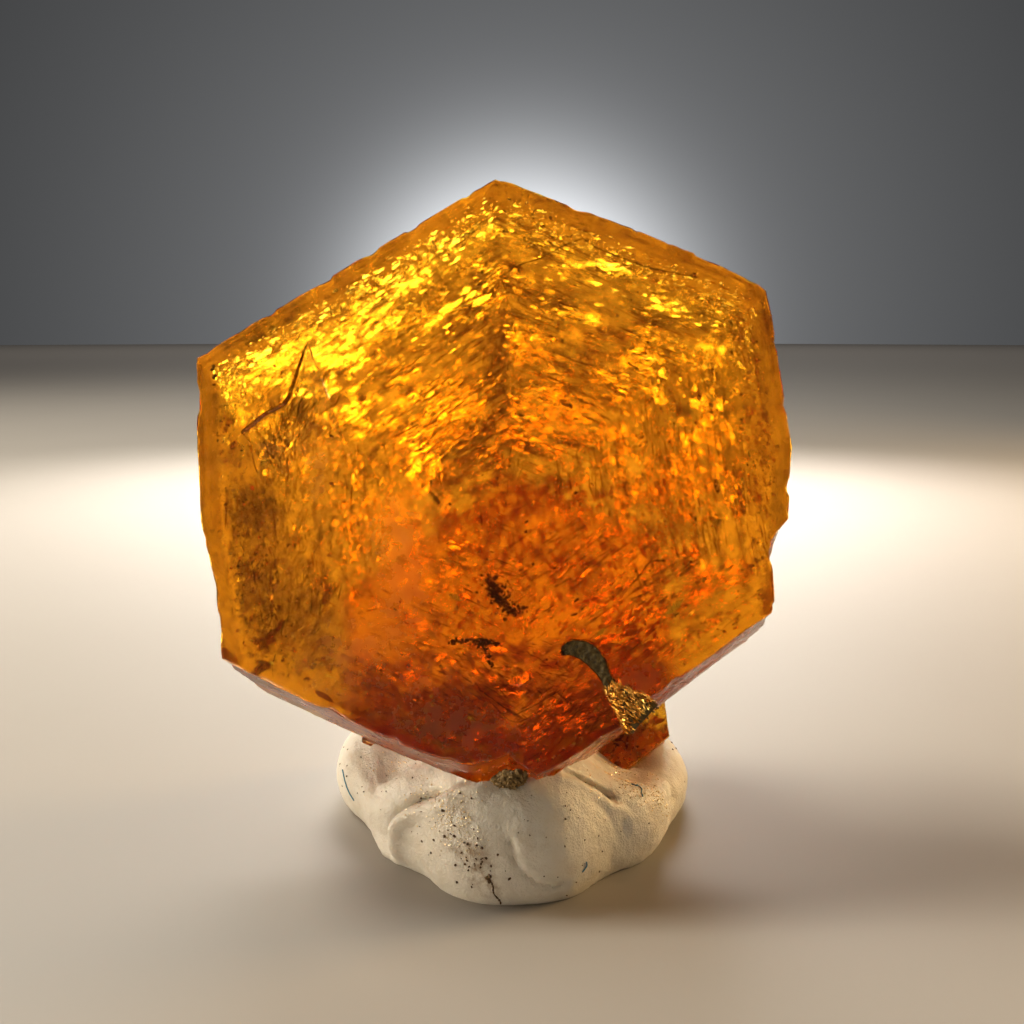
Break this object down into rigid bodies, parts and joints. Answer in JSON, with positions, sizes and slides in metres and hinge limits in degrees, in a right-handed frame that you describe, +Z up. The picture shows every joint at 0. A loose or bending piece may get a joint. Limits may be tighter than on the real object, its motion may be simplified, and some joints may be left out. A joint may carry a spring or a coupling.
{
  "type": "mimetite crystal specimen",
  "caption": "Gemmy orange hexagonal mimetite crystal with a smaller crystal grown behind it, standing upright on a pressed lump of whitish mineral putty.",
  "frame": {"origin": "on the standing surface, under the middle of the specimen's box", "axes": "+Z up, -Y towards the side that the crystal's broad basal face looks at, +X to the right seen from there"},
  "size_m": [0.0208, 0.0164, 0.0234],
  "materials": {
    "mimetite": "clear to cloudy orange crystal, glossy resinous lustre with frosted patches",
    "matrix": "dull granular olive-brown rock",
    "putty": "satin, creased warm white mineral putty"
  },
  "bodies": {
    "root": {"mimetite_crystal": "mimetite", "matrix_vein": "matrix", "matrix_crumb": "matrix", "putty_mount": "putty"}
  },
  "joints": []
}
